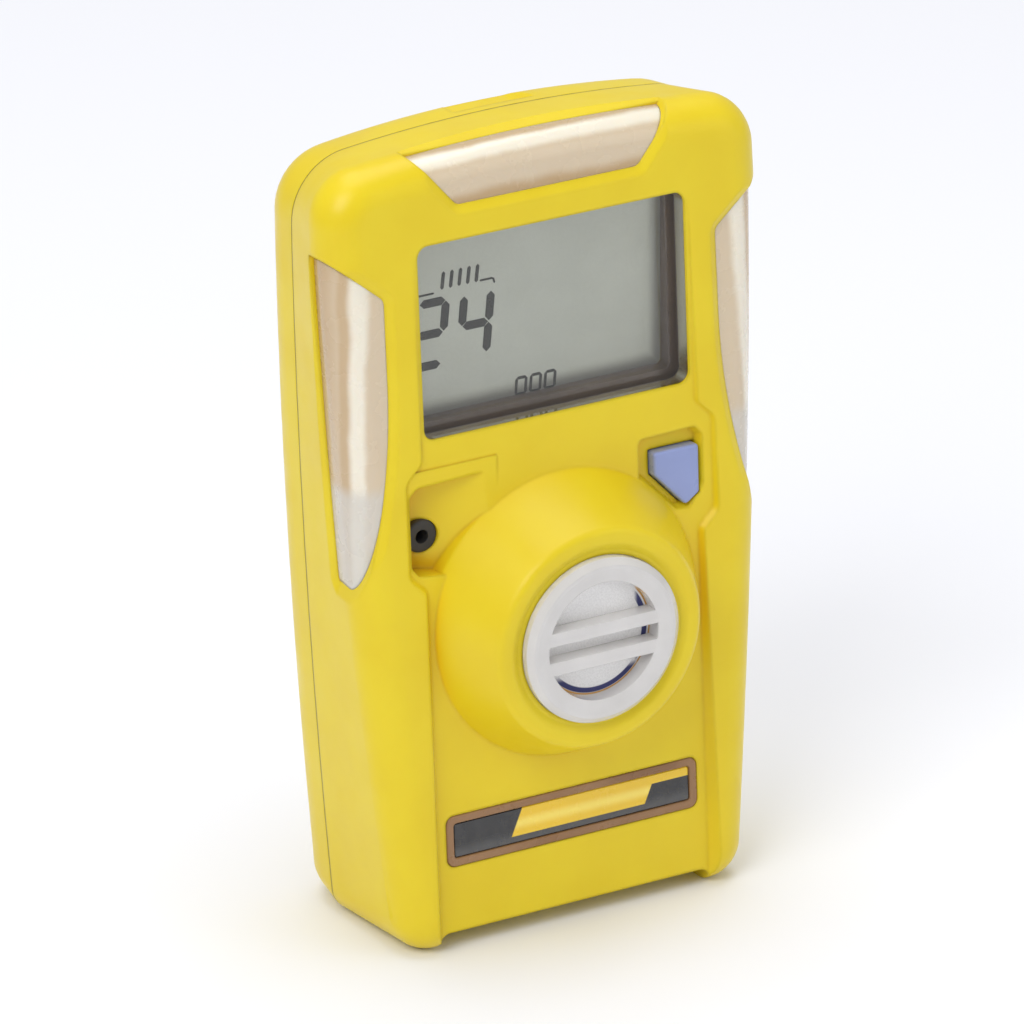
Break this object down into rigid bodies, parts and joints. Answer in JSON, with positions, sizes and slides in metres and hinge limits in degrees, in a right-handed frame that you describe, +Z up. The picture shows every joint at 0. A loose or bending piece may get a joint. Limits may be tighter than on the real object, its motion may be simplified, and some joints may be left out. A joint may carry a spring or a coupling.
{
  "type": "portable gas detector",
  "caption": "Compact clip-on single-gas detector: leaning case with wrap-around alarm windows, display, domed sensor port, push button and a sprung rear clip.",
  "frame": {"origin": "bottom centre of the box around the detector, on the surface its feet stand on", "axes": "+Z up along the case, -Y out of the front face, X to the viewer's right when facing the display"},
  "size_m": [0.0522, 0.041, 0.0873],
  "materials": {
    "case_yellow": "satin moulded polycarbonate",
    "seal_rubber": "matt",
    "screw_steel": "zinc plated",
    "window_frosted": "frosted translucent",
    "guide_clear": "clear moulded",
    "lens_clear": "clear acrylic",
    "frame_brown": "matt",
    "lcd": "grey-green liquid crystal",
    "backlight": "diffuse",
    "zebra": "matt",
    "board_green": "solder resist",
    "chip_black": "moulded",
    "led_red": "clear epoxy",
    "button_blue": "satin",
    "silicone_grey": "matt",
    "switch_black": "moulded",
    "plunger_white": "moulded",
    "sounder_black": "moulded",
    "grille_clear": "clear moulded",
    "filter_white": "porous membrane",
    "cell_grey": "moulded",
    "pin_gold": "gold plated",
    "battery_wrap": "shrink sleeve",
    "nickel": "nickel plated",
    "foam_black": "foam",
    "motor_steel": "drawn",
    "weight_grey": "sintered",
    "frame_copper": "satin brown",
    "plate_printed": "printed",
    "clip_steel": "brushed stainless",
    "label_white": "printed film"
  },
  "bodies": {
    "case": {"front_shell": "case_yellow", "rear_shell": "case_yellow", "case_seal": "seal_rubber", "case_screws": "screw_steel", "left_light_window": "window_frosted", "right_light_window": "window_frosted", "top_light_window": "window_frosted", "left_light_guide": "guide_clear", "right_light_guide": "guide_clear", "top_light_guide": "guide_clear", "display_lens": "lens_clear", "display_frame": "frame_brown", "lcd_glass": "lcd", "lcd_backlight": "backlight", "lcd_connectors": "zebra", "main_board": "board_green", "board_chips": "chip_black", "alarm_leds": "led_red", "button_seal": "silicone_grey", "button_switch": "switch_black", "sounder": "sounder_black", "sounder_ring": "seal_rubber", "sensor_grille": "grille_clear", "sensor_filter": "filter_white", "sensor_gasket": "seal_rubber", "sensor_cell": "cell_grey", "sensor_pins": "pin_gold", "battery_cell": "battery_wrap", "battery_tabs": "nickel", "battery_pad": "foam_black", "vibration_motor": "motor_steel", "motor_boot": "silicone_grey", "label_frame": "frame_copper", "label_plate": "plate_printed", "clip_base": "clip_steel", "clip_pin": "screw_steel", "clip_spring": "screw_steel", "clip_screws": "screw_steel", "rear_label": "label_white"},
    "clip": {"clip_lever": "clip_steel"},
    "button": {"push_button": "button_blue", "switch_plunger": "plunger_white"},
    "rotor": {"motor_shaft": "motor_steel", "motor_weight": "weight_grey"}
  },
  "joints": [
    {"name": "clip_open", "type": "hinge", "parent": "case", "child": "clip", "pos_m": [0, 0.0149, 0.05], "axis": [1, 0, 0], "range_deg": [0, 25], "stiffness_Nm_per_rad": 0.25, "springref_deg": -34.38, "deforming": ["clip_spring"]},
    {"name": "button_press", "type": "slide", "parent": "case", "child": "button", "axis": [0, 1, 0], "range_m": [0, 0.0006], "stiffness_N_per_m": 3000, "springref_m": -0.0002},
    {"name": "motor_spin", "type": "hinge", "parent": "case", "child": "rotor", "pos_m": [0.0098, 0.0027, 0.07], "axis": [1, 0, 0], "continuous": true}
  ]
}
